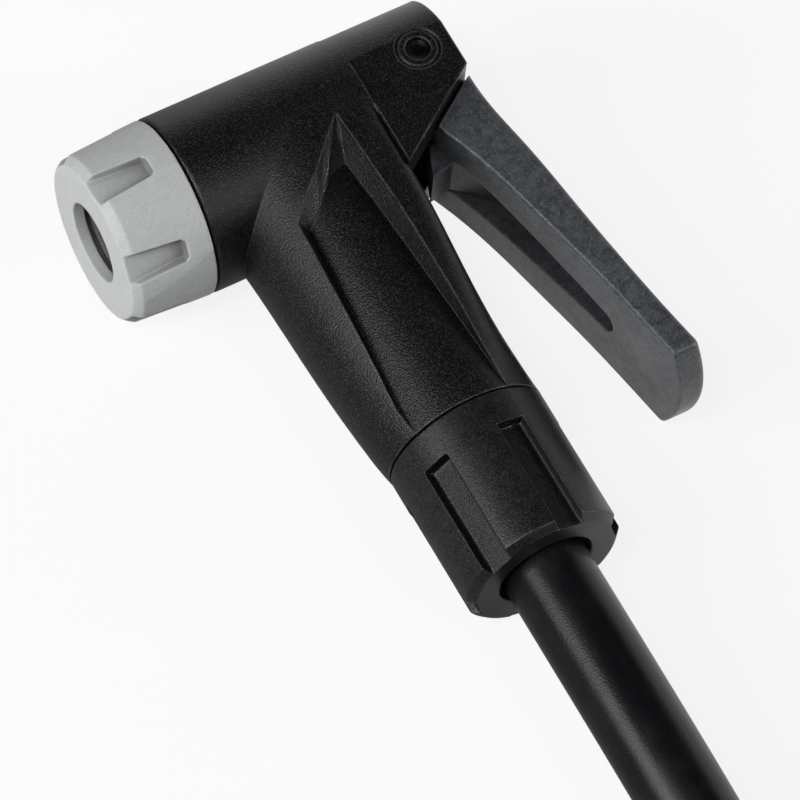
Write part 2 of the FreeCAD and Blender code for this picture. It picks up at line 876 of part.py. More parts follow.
nodes = {
    "head_body": head_body(),
    "retaining_cap": retaining_cap(),
    "front_washer": front_washer(),
    "valve_seal": valve_seal(),
    "thrust_ring": thrust_ring(),
    "piston": piston(),
    "piston_o_ring_front": piston_ring(front_groove_start),
    "piston_o_ring_rear": piston_ring(rear_groove_start),
    "core_pin": core_pin(),
    "cam_shoe": cam_shoe(),
    "cam_lever": cam_lever(),
    "pivot_pin": pivot_pin(),
    "hose_stem": hose_stem(),
    "stem_o_ring": stem_o_ring(),
    "clamp_sleeve": clamp_sleeve(),
    "hose_nut": hose_nut(),
    "hose": hose(),
    "hose_coil": hose_coil(),
    "hose_tail": hose_tail(),
    "hose_ferrule": hose_ferrule(),
    "end_stem": end_stem(),
    "end_seal": end_seal(),
    "swivel_nut": swivel_nut(),
}

for name, shape in nodes.items():
    shape.exportStep("parts/%s.step" % name)
    print("%-22s solids %d  volume %.1f  valid %s" % (name, len(shape.Solids), shape.Volume, shape.isValid()))
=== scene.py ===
# %% [markdown]
# # A hand-held inflator head, dressed for its picture
#
# The part is the hand-held end of a tyre inflator: a black barrel with a grey grip
# cap, a neck with a ribbed hose nut, a cam lever and a rubber hose. The solids come
# in finished and in place, in metres. This script gives them their plastics, rubber
# and metal, makes the pieces that need softer or finer shapes, and sets up the
# floor, the lamps and the camera.

# %% Load the solids
import json
import math

import bmesh
import bpy
from mathutils import Matrix, Vector


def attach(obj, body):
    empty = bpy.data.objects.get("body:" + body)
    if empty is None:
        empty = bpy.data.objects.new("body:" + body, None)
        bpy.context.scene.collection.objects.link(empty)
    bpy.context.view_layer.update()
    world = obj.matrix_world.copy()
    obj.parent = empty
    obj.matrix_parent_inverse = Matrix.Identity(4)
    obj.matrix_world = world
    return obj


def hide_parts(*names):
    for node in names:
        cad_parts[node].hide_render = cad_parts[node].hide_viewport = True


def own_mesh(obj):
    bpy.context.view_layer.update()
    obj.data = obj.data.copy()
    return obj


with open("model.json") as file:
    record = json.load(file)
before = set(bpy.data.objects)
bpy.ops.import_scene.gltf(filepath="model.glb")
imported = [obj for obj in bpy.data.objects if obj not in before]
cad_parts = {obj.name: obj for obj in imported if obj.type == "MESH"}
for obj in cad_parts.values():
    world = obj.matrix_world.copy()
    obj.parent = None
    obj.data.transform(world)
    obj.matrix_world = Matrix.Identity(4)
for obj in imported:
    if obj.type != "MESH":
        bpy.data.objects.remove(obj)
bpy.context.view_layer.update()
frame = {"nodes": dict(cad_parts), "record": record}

# %% [markdown]
# ## Units and small helpers
#
# The drawings of such a part are in millimetres and Blender works in metres, so one
# value turns one into the other. A finished mesh is linked to the scene at the
# origin, with its place in its vertices, so that it moves rightly with its body.

# %% Units and helpers
MM = 0.001
scene = bpy.context.scene


def mm(*numbers):
    """A point given in millimetres, in metres."""
    return Vector(numbers) * MM


made_pieces = {}        # each piece made here, and the slot of its finish


def finished(name, bm, body, slot, *nodes):
    """A mesh piece from bm that rides on a body and stands for the given solids."""
    mesh = bpy.data.meshes.new(name)
    bm.to_mesh(mesh)
    bm.free()
    for face in mesh.polygons:
        face.use_smooth = True
    piece = bpy.data.objects.new(name, mesh)
    scene.collection.objects.link(piece)
    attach(piece, body)
    if nodes:
        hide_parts(*nodes)
    made_pieces[piece] = slot
    print(name, "faces:", len(mesh.polygons))
    return piece


print("one millimetre is", MM, "of Blender's units")


# %% [markdown]
# ## Camera
#
# The picture was taken from above and from the cap's side, with a long lens, so the
# barrel's two ends look nearly the same size. The camera is placed by the direction
# from the object to it, its distance, and a small roll about its own line of sight.

# %% Camera
AIM = mm(20.025, -31.143, 0)
AZIMUTH = math.radians(-35.139)
ELEVATION = math.radians(61.165)
ROLL = math.radians(7.428)
DISTANCE = 979.445 * MM
FOCAL_PIXELS = 9352.94
FRAME_PIXELS = 800

back = Vector((
    math.sin(AZIMUTH) * math.cos(ELEVATION),
    -math.cos(AZIMUTH) * math.cos(ELEVATION),
    math.sin(ELEVATION),
))
right = Vector((math.cos(AZIMUTH), math.sin(AZIMUTH), 0))
up = back.cross(right)
rolled_right = right * math.cos(ROLL) + up * math.sin(ROLL)
rolled_up = up * math.cos(ROLL) - right * math.sin(ROLL)

lens = bpy.data.cameras.new("camera")
lens.sensor_width = 36
lens.lens = FOCAL_PIXELS / FRAME_PIXELS * lens.sensor_width
lens.clip_start = 0.05
lens.clip_end = 20
camera = bpy.data.objects.new("camera", lens)
scene.collection.objects.link(camera)
turn = Matrix((rolled_right, rolled_up, back)).transposed().to_4x4()
camera.matrix_world = Matrix.Translation(AIM + back * DISTANCE) @ turn
scene.camera = camera
print("focal length: %.0f mm" % lens.lens)

# %% [markdown]
# ## Hose
#
# A rubber hose is stiff: it leaves the nut straight, comes down to the floor in a
# long gentle bend, and the length that isn't in the picture is wound into a neat
# coil. One smooth curve with a round section makes it. Its control points are the
# hose's route, and the coil's points are worked out in a loop, a little outside
# the turns, because the curve cuts inside its points. The hose's radius stands at
# the points and the curve's own depth is 1, because Blender widens a curve's box by
# its points' radius.

# %% Hose route
HOSE_RADIUS = 4.8
FLOOR = -10.0
COIL_CENTRE = (-30.0, -143.0)
COIL_RADIUS = 54.0
POINTS_PER_TURN = 12
COIL_TURNS = 1.5

hose_start = [(24.0, -26.7, 0.0), (24.0, -56.0, 0.0), (24.05, -85.5, -0.25),
              (24.3, -114.6, -3.4), (24.0, -143.0, -5.2)]
hose_end = [(-84.0, -143.0, 4.4), (-84.1, -128.0, 3.3), (-84.3, -112.5, -0.8),
            (-84.0, -96.0, -3.0), (-84.0, -81.0, -3.0)]

half_step = math.pi / POINTS_PER_TURN
outside = COIL_RADIUS / (0.75 + 0.25 * math.cos(2 * half_step))
coil = []
for i in range(round(COIL_TURNS * POINTS_PER_TURN)):
    angle = half_step * (2 * i + 1)
    climb = min(angle / (2 * math.pi), 1.0)
    coil.append((
        COIL_CENTRE[0] + outside * math.cos(angle),
        COIL_CENTRE[1] - outside * math.sin(angle),
        FLOOR + HOSE_RADIUS * (1 + 2 * climb),
    ))
route = hose_start + coil + hose_end
print("route points:", len(route))

# %% Hose curve
curve = bpy.data.curves.new("air_hose", "CURVE")
curve.dimensions = "3D"
spline = curve.splines.new("NURBS")
spline.points.add(len(route) - 1)
for point, place in zip(spline.points, route):
    point.co = (*mm(*place), 1)
    point.radius = HOSE_RADIUS * MM
spline.order_u = 3
spline.use_endpoint_u = True
spline.resolution_u = 12
curve.resolution_u = 12
curve.bevel_depth = 1.0
curve.bevel_resolution = 14
hose = bpy.data.objects.new("air_hose", curve)
scene.collection.objects.link(hose)
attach(hose, "head")
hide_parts("hose", "hose_coil", "hose_tail")
print("hose points:", len(spline.points), "order:", spline.order_u)

# %% [markdown]
# ## Grip cap and hose nut
#
# Both are rings with six shallow recesses that fingers grip. Each is spun from its
# outline. Then the columns of vertices are moved sideways, so that some of them run
# along the recesses' edges, and the ones inside a recess are pushed down to its flat
# floor. A subdivision surface rounds all the corners a little, as a mould does.

# %% Spin a ring
SECTORS = 6
SECTOR_COLUMNS = 20
SECTOR_ANGLE = math.tau / SECTORS


def spun(outline):
    """A ring spun about X from a closed outline of (along, radius) points."""
    bm = bmesh.new()
    corners = [bm.verts.new(mm(along, 0, radius)) for along, radius in outline]
    edges = [bm.edges.new(pair) for pair in zip(corners, corners[1:] + corners[:1])]
    bmesh.ops.spin(
        bm, geom=corners + edges, cent=(0, 0, 0), axis=(1, 0, 0), angle=math.tau,
        steps=SECTORS * SECTOR_COLUMNS, use_merge=True,
    )
    bmesh.ops.recalc_face_normals(bm, faces=bm.faces)
    return bm


print("columns round a ring:", SECTORS * SECTOR_COLUMNS)

# %% Move columns to the recesses
FLOOR_STEP = 3
EDGE_STEP = 4
NEAR = 0.1


def column_angle(steps, half_angle, wall):
    """How far a column stands from its recess's middle, steps counted from there."""
    shares = (0.0, 0.4, 0.75, 1.0 - wall, 1.0, 1.0 + wall)
    last = len(shares) - 1
    if steps <= last:
        return shares[steps] * half_angle
    beside = shares[last] * half_angle
    share = (steps - last) / (SECTOR_COLUMNS / 2 - last)
    return beside + (SECTOR_ANGLE / 2 - beside) * share


def sink_recesses(bm, first_angle, half_width, floor, begin, end, wall, corner=0.0):
    """Line the columns up with six recesses and push their floors down."""
    for vert in bm.verts:
        along = vert.co.x / MM
        radius = math.hypot(vert.co.y, vert.co.z) / MM
        turn = math.atan2(-vert.co.y, vert.co.z)
        column = round(turn / SECTOR_ANGLE * SECTOR_COLUMNS) % (SECTORS * SECTOR_COLUMNS)
        sector, steps = divmod(column, SECTOR_COLUMNS)
        side = 1
        if steps > SECTOR_COLUMNS // 2:
            sector, steps, side = sector + 1, SECTOR_COLUMNS - steps, -1
        half_angle = math.atan(half_width(along) / floor)
        offset = column_angle(steps, half_angle, wall)
        if steps <= FLOOR_STEP and begin <= along <= end:
            radius = min(radius, floor / math.cos(offset))
        if steps in (FLOOR_STEP, EDGE_STEP) and abs(along - end) < NEAR:
            along -= corner
            offset *= 1 - corner / half_width(along) / 2
        turn = first_angle + sector * SECTOR_ANGLE + side * offset
        vert.co = mm(along, -radius * math.sin(turn), radius * math.cos(turn))


def soften(piece, levels=2):
    """A subdivision surface, the same in the view and in the picture."""
    modifier = piece.modifiers.new("soften", "SUBSURF")
    modifier.levels = levels
    modifier.render_levels = levels
    print(piece.name, "is softened", levels, "times")

# %% Grip cap
CAP_LENGTH = 9.7
CAP_BAND = 1.1
CAP_NOSE_RADIUS = 9.6
CAP_REAR_RADIUS = 10.0
HOLE_RADIUS = 4.5
CAP_INSIDE = 8.17

RECESS_FLOOR = 8.8
RECESS_END = 6.9
FLOOR_END = 6.8
RECESS_TURN = math.radians(-6.0)
HALF_WIDTH_FRONT = 1.75
HALF_WIDTH_REAR = 1.15


def cap_radius(along):
    """The cap widens a little from its nose band to its rear."""
    share = (along - CAP_BAND) / (CAP_LENGTH - CAP_BAND)
    return CAP_NOSE_RADIUS + (CAP_REAR_RADIUS - CAP_NOSE_RADIUS) * share


def cap_half_width(along):
    """The recesses are wider at the nose."""
    share = min(along / RECESS_END, 1.0)
    return HALF_WIDTH_FRONT - (HALF_WIDTH_FRONT - HALF_WIDTH_REAR) * share


nose = [(0.0, 4.65), (0.0, 5.0), (0.0, 7.0), (0.0, 8.55), (0.07, 8.83), (0.25, 9.0),
        (0.9, 9.46), (CAP_BAND, 9.58)]
steps_along = (1.35, 2.2, 3.6, 5.0, 6.1, 6.6, 6.78, 6.87, 7.0, 7.5, 8.4, 9.3, 9.6)
side = [(along, cap_radius(along)) for along in steps_along]
rear = [(CAP_LENGTH, 9.88), (CAP_LENGTH, 9.4), (CAP_LENGTH, 8.3), (9.58, CAP_INSIDE)]
inside = [(along, CAP_INSIDE) for along in (9.3, 6.0, 2.9)]
inside += [(2.65, 8.1), (2.6, 7.8), (2.6, 6.6), (2.55, 6.2), (2.4, 6.1), (1.7, 6.1)]
hole = [(1.55, 5.9), (1.5, 5.2), (1.46, 4.62), (1.35, HOLE_RADIUS), (0.9, HOLE_RADIUS),
        (0.25, HOLE_RADIUS), (0.08, 4.54)]
bm = spun(nose + side + rear + inside + hole)
sink_recesses(
    bm, RECESS_TURN, cap_half_width, RECESS_FLOOR, 0.0, FLOOR_END, wall=0.08,
    corner=0.25,
)
grip_cap = finished("grip_cap", bm, "cap", "cap_plastic", "retaining_cap")
soften(grip_cap)

# %% [markdown]
# ## Valve seal
#
# The rubber that grips a tyre valve is a sleeve in the barrel. Its front lip shows
# as a dark ring inside the cap's pale hole. As the lever swings, the piston presses
# the sleeve shorter, so the sleeve is a piece of its own. The lip stays where it is.

# %% Lip of the valve seal
lip_outline = [(2.0, 5.4), (1.95, 5.3), (1.95, 4.7), (2.05, 4.45), (2.3, 4.4), (2.6, 4.4),
               (2.8, 4.45), (2.85, 4.7), (2.85, 5.3), (2.8, 5.4)]
seal_lip = finished("seal_lip", spun(lip_outline), "head", "seal_rubber")

# %% Valve seal
SEAL_START = 3.5
SEAL_END = 11.3
SEAL_RADIUS = 6.45

sleeve_outline = [(SEAL_START, 4.5), (SEAL_START, SEAL_RADIUS), (SEAL_END, SEAL_RADIUS),
                  (SEAL_END, 4.5), (SEAL_END - 1.2, 4.0), (SEAL_START + 1.2, 4.0)]
valve_sleeve = finished(
    "valve_sleeve", spun(sleeve_outline), "head", "seal_rubber", "valve_seal",
)
valve_sleeve.data.set_sharp_from_angle(angle=math.radians(30))
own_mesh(valve_sleeve)

# %% Hose nut
NECK_X = 24.0
NUT_START = -38.55
NUT_RADIUS = 9.12
NUT_INSIDE = 7.68
NUT_RECESS_FLOOR = 8.02
NUT_RECESS_BEGIN = 3.8
NUT_RECESS_END = 17.04
NUT_RECESS_TURN = math.radians(44.5)

top = [(0.0, 7.8), (0.0, 9.0), (0.03, 9.1)]
steps_along = (0.12, 0.6, 2.0, 3.2, 3.55, 3.7, 3.85, 4.2, 7.0, 10.0, 13.0, 15.2, 16.1)
side = [(along, NUT_RADIUS) for along in steps_along]
foot = [(16.25, 9.1), (16.4, 8.97), (16.9, 8.47), (17.03, 8.32), (17.05, 8.1),
        (17.05, 7.2), (17.05, 5.8), (17.0, 5.5), (16.8, 5.4), (16.0, 5.4), (15.2, 5.4),
        (15.05, 5.5), (15.05, 6.1), (14.9, 6.35), (12.1, 7.6)]
inside = [(along, NUT_INSIDE) for along in (11.7, 6.0, 0.3)]
bm = spun(top + side + foot + inside)
sink_recesses(
    bm, NUT_RECESS_TURN, lambda along: 1.5, NUT_RECESS_FLOOR, NUT_RECESS_BEGIN,
    NUT_RECESS_END, wall=0.035,
)
along_neck = Matrix(((0, 1, 0), (-1, 0, 0), (0, 0, 1))).to_4x4()
at_neck = Matrix.Translation(mm(NECK_X, NUT_START, 0)) @ along_neck
bmesh.ops.transform(bm, matrix=at_neck, verts=bm.verts)
ribbed_nut = finished("ribbed_nut", bm, "nut", "nut_plastic", "hose_nut")
soften(ribbed_nut)

# %% [markdown]
# ## The far end's fitting
#
# It is out of the picture, but the part is used from all sides. The ferrule is
# crimped in three rings, and the swivel nut is a hexagon with chamfered corners and
# a real thread: a small triangle wound along a screw line.

# %% Crimped ferrule
FITTING = (-84.0, -91.0, -3.0)
to_the_end = Matrix(((0, -1, 0), (1, 0, 0), (0, 0, 1))).to_4x4()

ferrule_outline = [(0.0, 4.85), (0.0, 5.5), (0.15, 5.85), (0.5, 6.0), (1.2, 6.0)]
for ring in (2.0, 4.6, 7.2):
    ferrule_outline += [(ring, 5.95), (ring + 0.35, 5.62), (ring + 1.15, 5.62), (ring + 1.5, 5.95)]
ferrule_outline += [(9.6, 6.0), (10.5, 6.0), (10.85, 5.85), (11.0, 5.5), (11.0, 4.2),
                    (11.0, 3.2), (10.9, 3.12), (10.2, 3.12), (10.1, 3.25), (10.1, 4.7),
                    (10.0, 4.85), (9.0, 4.85), (5.0, 4.85), (0.5, 4.85)]
bm = spun(ferrule_outline)
at_fitting = Matrix.Translation(mm(*FITTING)) @ to_the_end
bmesh.ops.transform(bm, matrix=at_fitting, verts=bm.verts)
crimped_ferrule = finished("crimped_ferrule", bm, "head", "plated", "hose_ferrule")
soften(crimped_ferrule, 1)

# %% Swivel nut
HALF_FLATS = 7.0
SWIVEL_START = 13.7
SWIVEL_END = 26.7
THREAD_START = 19.7
THREAD_RADIUS = 4.9
THREAD_DEPTH = 0.45
THREAD_PITCH = 1.0
THREAD_STEPS = 40

swivel_outline = [
    (SWIVEL_START, 3.25), (SWIVEL_START, 6.6), (SWIVEL_START, 7.0), (14.3, 8.09),
    (17.0, 8.09), (23.4, 8.09), (26.1, 8.09), (SWIVEL_END, 7.0), (SWIVEL_END, 5.6),
    (26.3, 5.35), (THREAD_START, 5.35), (19.5, 5.35), (19.4, 5.2), (16.7, 5.2), (16.7, 3.17),
    (13.85, 3.17),
]
bm = spun(swivel_outline)
for vert in bm.verts:
    radius = math.hypot(vert.co.y, vert.co.z) / MM
    if radius > 6.9:
        turn = math.atan2(-vert.co.y, vert.co.z)
        from_flat = turn - SECTOR_ANGLE * round(turn / SECTOR_ANGLE)
        slim = min(1.0, HALF_FLATS / math.cos(from_flat) / radius)
        vert.co.y *= slim
        vert.co.z *= slim

# %% Thread in the swivel nut
turns = int((SWIVEL_END - THREAD_START - 1.0) / THREAD_PITCH)
root = THREAD_RADIUS + THREAD_DEPTH + 0.05
ridge = [(0.05, root), (0.42, THREAD_RADIUS), (0.58, THREAD_RADIUS), (0.95, root)]
corners = [bm.verts.new(mm(THREAD_START + along, 0, radius)) for along, radius in ridge]
edges = [bm.edges.new(pair) for pair in zip(corners, corners[1:])]
bmesh.ops.spin(
    bm, geom=corners + edges, cent=(0, 0, 0), axis=(1, 0, 0), angle=math.tau * turns,
    steps=THREAD_STEPS * turns, dvec=mm(THREAD_PITCH / THREAD_STEPS, 0, 0),
)
bmesh.ops.recalc_face_normals(bm, faces=bm.faces)
bmesh.ops.transform(bm, matrix=at_fitting, verts=bm.verts)
swivel = finished("threaded_swivel_nut", bm, "swivel", "plated", "swivel_nut")
swivel.data.shade_flat()
print("thread turns:", turns)

# %% [markdown]
# ## Helpers for materials
#
# A material is a small net of nodes. These functions set up an empty one, and add
# the two nodes that turn up most: arithmetic, and one range of numbers stretched
# to another.

# %% Node helpers


def new_material(name):
    """An empty node material and its node tree."""
    material = bpy.data.materials.new(name)
    material.use_nodes = True
    material.node_tree.nodes.clear()
    return material, material.node_tree


def math_node(tree, operation, a, b=None):
    """A Math node whose inputs are numbers or sockets."""
    node = tree.nodes.new("ShaderNodeMath")
    node.operation = operation
    for i, value in enumerate((a, b)):
        if value is None:
            continue
        if isinstance(value, (int, float)):
            node.inputs[i].default_value = value
        else:
            tree.links.new(value, node.inputs[i])
    return node.outputs[0]


def map_range(tree, value, low, high, to_low=0.0, to_high=1.0, smooth=False):
    """Part of a range of values, stretched to another range."""
    node = tree.nodes.new("ShaderNodeMapRange")
    if smooth:
        node.interpolation_type = "SMOOTHSTEP"
    tree.links.new(value, node.inputs["Value"])
    for label, number in (("From Min", low), ("From Max", high),
                          ("To Min", to_low), ("To Max", to_high)):
        node.inputs[label].default_value = number
    return node.outputs["Result"]


# %% [markdown]
# ## Floor
#
# The floor is a pale sheet. What the camera sees of it is lifted towards white, and
# a part of its own shading stays, so the object keeps its shadow. Glossy surfaces
# mirror the lifted floor too. On the cap's side it is dimmer to them than on the
# lever's side, so the slopes that face the cap's side stay black.

# %% Floor sheet
FLOOR_SIZE = 2.0

floor_mesh = bpy.data.meshes.new("floor")
bm = bmesh.new()
bmesh.ops.create_grid(bm, x_segments=1, y_segments=1, size=FLOOR_SIZE)
bmesh.ops.translate(bm, vec=mm(0, 0, FLOOR), verts=bm.verts)
bm.to_mesh(floor_mesh)
bm.free()
floor = bpy.data.objects.new("floor", floor_mesh)
scene.collection.objects.link(floor)
print("floor at z:", FLOOR * MM)

# %% Floor paper
FLOOR_WHITE = (0.86, 0.86, 0.86, 1)
FLOOR_LIFT = 0.85
DIM_MIRROR = 0.15
DIM_UP_TO = 0.015
FULL_FROM = 0.05

paper, tree = new_material("floor_paper")
shade = tree.nodes.new("ShaderNodeBsdfDiffuse")
shade.inputs["Color"].default_value = FLOOR_WHITE
glow = tree.nodes.new("ShaderNodeEmission")
glow.inputs["Color"].default_value = (1, 1, 1, 1)
ray = tree.nodes.new("ShaderNodeLightPath")
ground = tree.nodes.new("ShaderNodeTexCoord")
across = tree.nodes.new("ShaderNodeSeparateXYZ")
tree.links.new(ground.outputs["Object"], across.inputs[0])
mirrored = map_range(tree, across.outputs["X"], DIM_UP_TO, FULL_FROM, DIM_MIRROR, 1.0)
strength = math_node(tree, "MAXIMUM", mirrored, ray.outputs["Is Camera Ray"])
tree.links.new(strength, glow.inputs["Strength"])
lifted = math_node(
    tree, "MAXIMUM", ray.outputs["Is Camera Ray"], ray.outputs["Is Glossy Ray"],
)
mix = tree.nodes.new("ShaderNodeMixShader")
out = tree.nodes.new("ShaderNodeOutputMaterial")
tree.links.new(math_node(tree, "MULTIPLY", lifted, FLOOR_LIFT), mix.inputs[0])
tree.links.new(shade.outputs[0], mix.inputs[1])
tree.links.new(glow.outputs[0], mix.inputs[2])
tree.links.new(mix.outputs[0], out.inputs["Surface"])
floor.data.materials.append(paper)
print("floor paper nodes:", len(tree.nodes))

# %% [markdown]
# ## Light
#
# Black plastic is drawn by what it mirrors, so the lamps matter more than its
# colour. A large soft lamp at the cap's end lights the cap and the slopes that face
# it. A lower one beside it lights only the cap's own colour: glossy faces don't
# mirror it, so the black slopes stay black. A weak lamp in front fills the neck and
# the nut, one at the lever's end lights the other slopes, and a small one overhead
# draws the bright lines along the barrel and the hose. A narrow beam from the
# lever's side picks out the recessed panel in the neck. The room is bright round the
# horizon on the lever's side and dark overhead, so faces that look up stay dark.

# %% Lamps
scene.view_settings.view_transform = "Standard"


def lamp(name, toward, distance, width, height, power):
    """An area lamp in a given direction from the object, facing it."""
    light = bpy.data.lights.new(name, "AREA")
    light.shape = "RECTANGLE"
    light.size = width
    light.size_y = height
    light.energy = power
    item = bpy.data.objects.new(name, light)
    scene.collection.objects.link(item)
    direction = Vector(toward).normalized()
    item.location = AIM + direction * distance
    item.rotation_euler = direction.to_track_quat("Z", "Y").to_euler()
    print(name, power, "W")
    return item


lamp("cap_side", (-0.80, 0.04, 0.60), 0.8, 0.45, 0.40, 3.5)
cap_fill = lamp("cap_fill", (-0.96, 0.12, 0.28), 0.8, 0.45, 0.40, 3.0)
cap_fill.visible_glossy = False
lamp("front", (0.28, -0.60, 0.75), 0.7, 0.35, 0.30, 0.8)
lamp("lever_side", (0.95, 0.10, 0.28), 0.8, 0.40, 0.30, 0.25)
lamp("overhead", (-0.38, -0.20, 0.90), 0.8, 0.14, 0.14, 1.75)

# %% Beam on the panel
PANEL = mm(19, -10, 8)
PANEL_REACH = 12 * MM
BEAM_DISTANCE = 0.8

beam = bpy.data.lights.new("panel_beam", "SPOT")
beam.energy = 110
beam.spot_size = 2 * math.atan(PANEL_REACH / BEAM_DISTANCE)
beam.spot_blend = 0.8
beam.shadow_soft_size = 0.04
beam_item = bpy.data.objects.new("panel_beam", beam)
scene.collection.objects.link(beam_item)
toward_lever = Vector((0.82, -0.45, 0.33)).normalized()
beam_item.location = PANEL + toward_lever * BEAM_DISTANCE
beam_item.rotation_euler = toward_lever.to_track_quat("Z", "Y").to_euler()
print("beam opening: %.2f degrees" % math.degrees(beam.spot_size))

# %% Room
ROOM_HORIZON = 0.85
ROOM_TOP = 0.03
HORIZON_UP_TO = 0.05
TOP_FROM = 0.5
ROOM_DARK_SIDE = 0.08
DARK_UP_TO = -0.35
BRIGHT_FROM = 0.6
BRIGHT_SIDE = (0.8, 0.6, 0.0)

world = bpy.data.worlds.new("room")
scene.world = world
world.use_nodes = True
tree = world.node_tree
tree.nodes.clear()
where = tree.nodes.new("ShaderNodeTexCoord").outputs["Generated"]
split = tree.nodes.new("ShaderNodeSeparateXYZ")
tree.links.new(where, split.inputs[0])
by_height = map_range(
    tree, split.outputs["Z"], HORIZON_UP_TO, TOP_FROM, ROOM_HORIZON, ROOM_TOP,
)
toward = tree.nodes.new("ShaderNodeVectorMath")
toward.operation = "DOT_PRODUCT"
toward.inputs[1].default_value = BRIGHT_SIDE
tree.links.new(where, toward.inputs[0])
by_side = map_range(
    tree, toward.outputs["Value"], DARK_UP_TO, BRIGHT_FROM, ROOM_DARK_SIDE, 1.0,
)
room_light = tree.nodes.new("ShaderNodeBackground")
level = math_node(tree, "MULTIPLY", by_height, by_side)
tree.links.new(level, room_light.inputs["Strength"])
white = tree.nodes.new("ShaderNodeBackground")
ray = tree.nodes.new("ShaderNodeLightPath")
mix = tree.nodes.new("ShaderNodeMixShader")
out = tree.nodes.new("ShaderNodeOutputWorld")
tree.links.new(ray.outputs["Is Camera Ray"], mix.inputs[0])
tree.links.new(room_light.outputs[0], mix.inputs[1])
tree.links.new(white.outputs[0], mix.inputs[2])
tree.links.new(mix.outputs[0], out.inputs["Surface"])
print("room:", ROOM_HORIZON, "at the horizon,", ROOM_TOP, "overhead")

# %% [markdown]
# ## Shared surface effects
#
# Four effects turn up in several finishes, so each is a node group: the fine grain
# that a spark-eroded mould leaves on plastic, the lighter edges, partly wear where
# hands and floors touch and partly a painted highlight, the painted shade that
# darkens hollows, and the faint smudges that break up any large surface.

# %% Group helpers


def new_group(name, inputs, outputs):
    """A shader node group with float inputs (name, value) and float outputs."""
    group = bpy.data.node_groups.new(name, "ShaderNodeTree")
    for label, value in inputs:
        socket = group.interface.new_socket(label, in_out="INPUT", socket_type="NodeSocketFloat")
        socket.default_value = value
    for label in outputs:
        group.interface.new_socket(label, in_out="OUTPUT", socket_type="NodeSocketFloat")
    start = group.nodes.new("NodeGroupInput")
    end = group.nodes.new("NodeGroupOutput")
    print("group:", name)
    return group, start, end


def noise(tree, coordinate, scale, detail=2.0, roughness=0.5):
    """Noise on a coordinate; scale is a number or a socket."""
    node = tree.nodes.new("ShaderNodeTexNoise")
    node.inputs["Detail"].default_value = detail
    node.inputs["Roughness"].default_value = roughness
    tree.links.new(coordinate, node.inputs["Vector"])
    if isinstance(scale, (int, float)):
        node.inputs["Scale"].default_value = scale
    else:
        tree.links.new(scale, node.inputs["Scale"])
    return node.outputs["Fac"]


# %% Grain group
grain_group, start, end = new_group("mould grain", [("Scale", 4200.0)], ["Height", "Pits"])
place = grain_group.nodes.new("ShaderNodeTexCoord").outputs["Object"]
coarse = noise(grain_group, place, start.outputs["Scale"], detail=3.0, roughness=0.65)
cells = grain_group.nodes.new("ShaderNodeTexVoronoi")
grain_group.links.new(place, cells.inputs["Vector"])
grain_group.links.new(start.outputs["Scale"], cells.inputs["Scale"])
height = math_node(grain_group, "MULTIPLY", coarse, cells.outputs["Distance"])
grain_group.links.new(map_range(grain_group, height, 0.1, 0.5), end.inputs["Height"])
grain_group.links.new(map_range(grain_group, coarse, 0.51, 0.66), end.inputs["Pits"])

# %% Edge rub and painted highlight group
AO_SAMPLES = 6

rub_and_highlight_group, start, end = new_group(
    "edge rub and painted highlight", [("Radius", 0.0004), ("Patch Scale", 600.0)], ["Mask"],
)
# Occlusion inside the surface finds convex edges. Their lighter colour is partly wear and partly a
# painted highlight.
within = rub_and_highlight_group.nodes.new("ShaderNodeAmbientOcclusion")
within.inside = True
within.only_local = True
within.samples = AO_SAMPLES
rub_and_highlight_group.links.new(start.outputs["Radius"], within.inputs["Distance"])
edge = map_range(rub_and_highlight_group, within.outputs["AO"], 0.96, 0.6, smooth=True)
place = rub_and_highlight_group.nodes.new("ShaderNodeTexCoord").outputs["Object"]
patches = noise(rub_and_highlight_group, place, start.outputs["Patch Scale"], detail=4.0, roughness=0.6)
patches = map_range(rub_and_highlight_group, patches, 0.32, 0.62)
rub_and_highlight_group.links.new(math_node(rub_and_highlight_group, "MULTIPLY", edge, patches), end.inputs["Mask"])

# %% Painted hollow shade group
# Occlusion from outside marks hollows and creases, where the plastics get painted shade.
hollow_shade_group, start, end = new_group("hollows", [("Reach", 0.003)], ["Mask"])
around = hollow_shade_group.nodes.new("ShaderNodeAmbientOcclusion")
around.only_local = True
around.samples = AO_SAMPLES
hollow_shade_group.links.new(start.outputs["Reach"], around.inputs["Distance"])
hollow_shade_group.links.new(map_range(hollow_shade_group, around.outputs["AO"], 1.0, 0.7), end.inputs["Mask"])

# %% Smudge group
smudge_group, start, end = new_group("smudges", [("Scale", 160.0)], ["Mask"])
place = smudge_group.nodes.new("ShaderNodeTexCoord").outputs["Object"]
soft = noise(smudge_group, place, start.outputs["Scale"], detail=5.0, roughness=0.55)
smudge_group.links.new(map_range(smudge_group, soft, 0.35, 0.7), end.inputs["Mask"])
print("node groups:", [g.name for g in bpy.data.node_groups])

# %% [markdown]
# ## Plastics
#
# All the mouldings share one recipe: a base colour with fine specks and soft
# clouds, a roughness that wanders with the smudges, grain as a bump, edges that are
# a little lighter, partly wear and partly a painted highlight, and hollows darkened
# with painted shade. Each moulding gets its own numbers.

# %% Plastic recipe
CLOUD_SCALE = 900.0
# How dark the painted shade in hollows is, as a share of the colour.
HOLLOW_SHADE = 0.35


def use_group(tree, group, **values):
    """A node group placed in a tree, with its numbers set."""
    node = tree.nodes.new("ShaderNodeGroup")
    node.node_tree = group
    for label, value in values.items():
        node.inputs[label.replace("_", " ")].default_value = value
    return node


def blend_colours(tree, mask, first, second):
    """A colour that goes from first to second where the mask is 1."""
    node = tree.nodes.new("ShaderNodeMix")
    node.data_type = "RGBA"
    tree.links.new(mask, node.inputs[0])
    for socket, colour in ((node.inputs[6], first), (node.inputs[7], second)):
        if isinstance(colour, tuple):
            socket.default_value = (*colour, 1)
        else:
            tree.links.new(colour, socket)
    return node.outputs[2]


